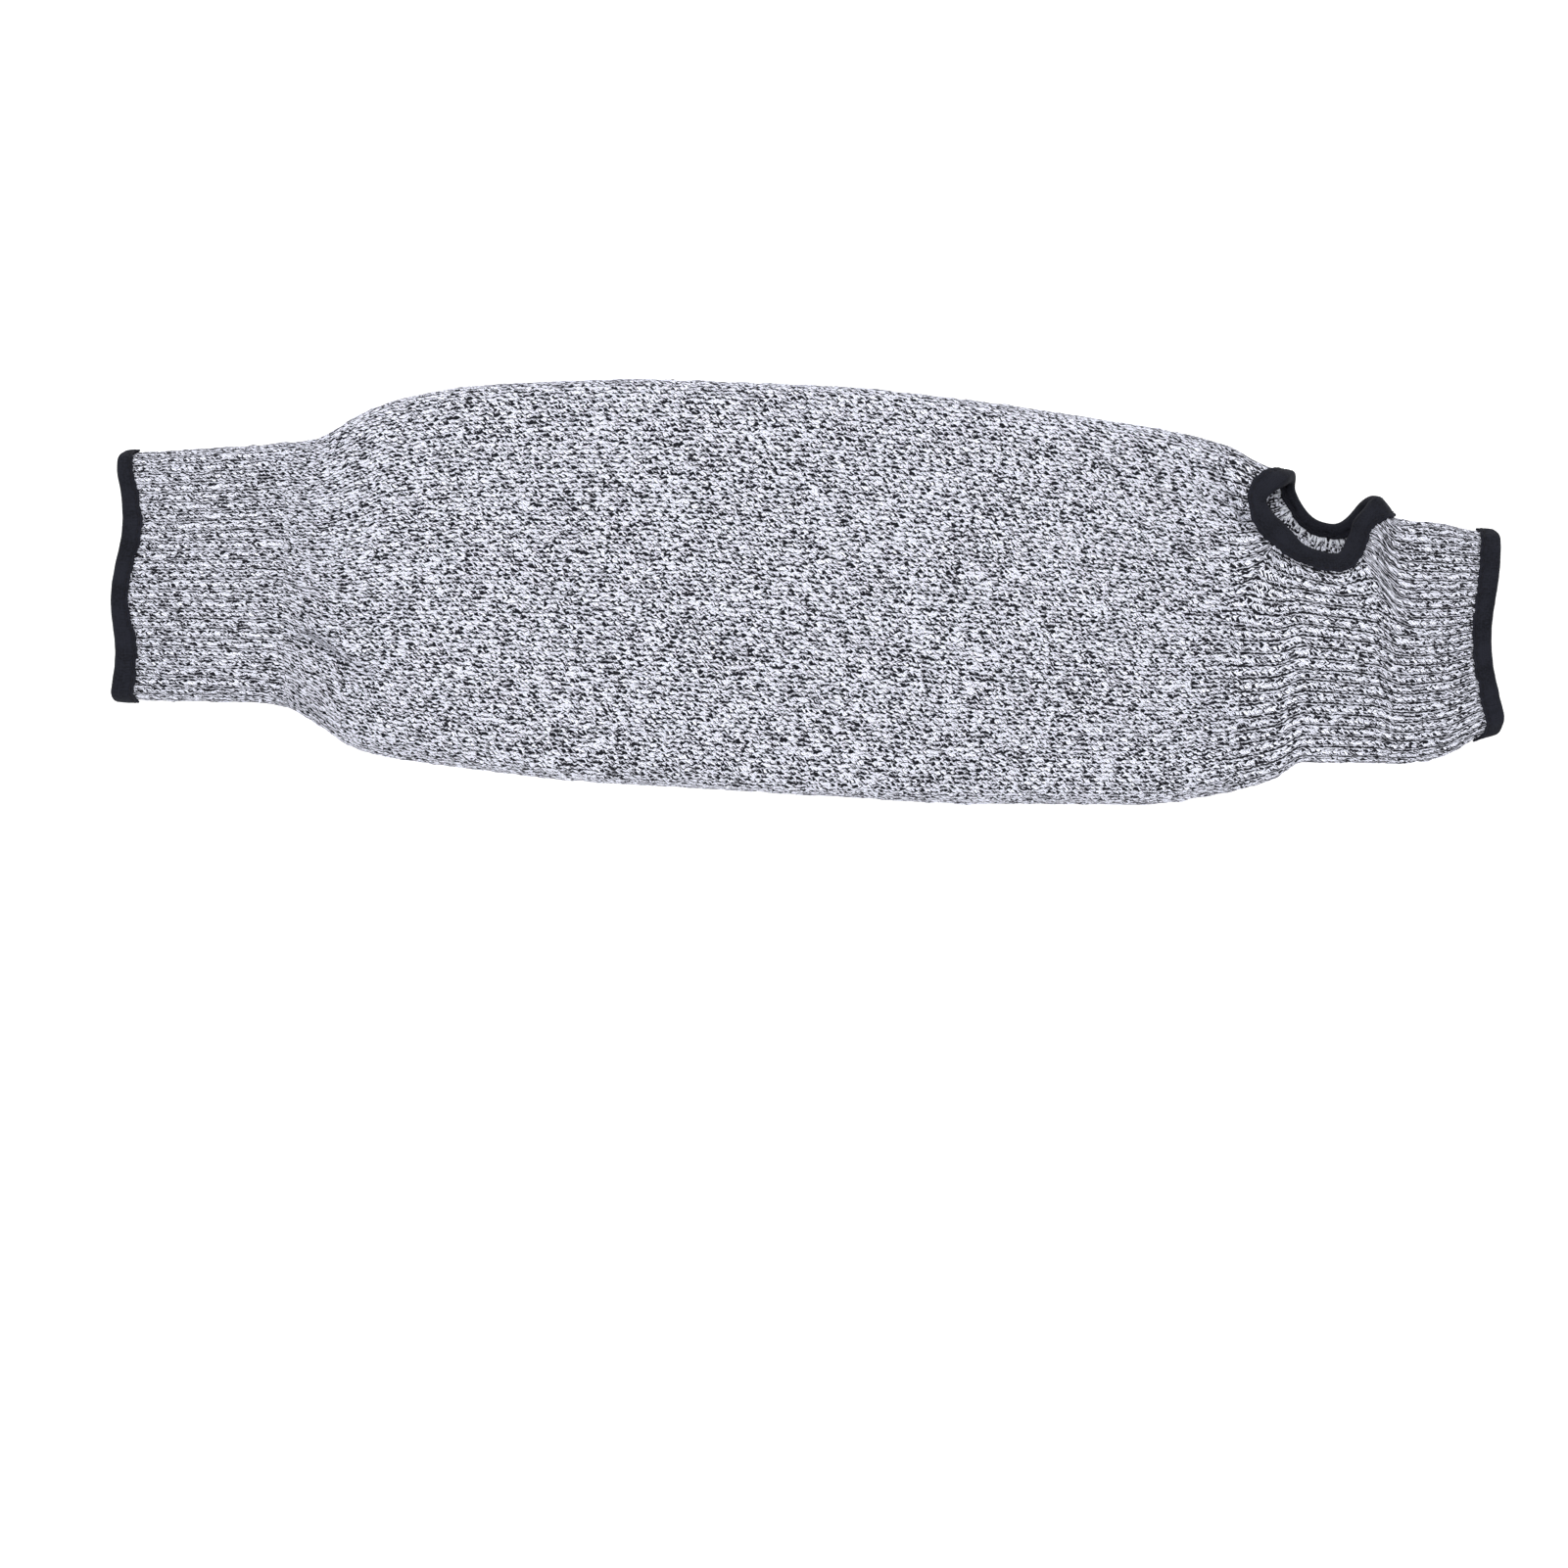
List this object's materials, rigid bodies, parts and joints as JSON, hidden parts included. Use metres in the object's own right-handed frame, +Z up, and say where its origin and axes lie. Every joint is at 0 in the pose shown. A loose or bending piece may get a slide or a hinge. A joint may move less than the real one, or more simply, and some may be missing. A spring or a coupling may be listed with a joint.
{
  "type": "cut resistant sleeve",
  "caption": "Knitted protective forearm sleeve lying flat: a hollow tube with ribbed cuffs, a thumb hole in the hand cuff and folded tape bound over each raw edge.",
  "frame": {"origin": "middle of the sleeve's length and width, on the surface it lies on", "axes": "+X from the elbow hem to the hand hem, +Y towards the thumb side, +Z up through the upper layer"},
  "size_m": [0.4496, 0.1373, 0.02],
  "materials": {
    "marl_knit": "matt knit of pale grey and near-black yarns, mottled",
    "binding_tape": "matt blue-black folded tape"
  },
  "bodies": {
    "root": {"knit_sleeve": "marl_knit", "elbow_binding": "binding_tape", "hand_binding": "binding_tape", "thumb_binding": "binding_tape"}
  },
  "joints": []
}
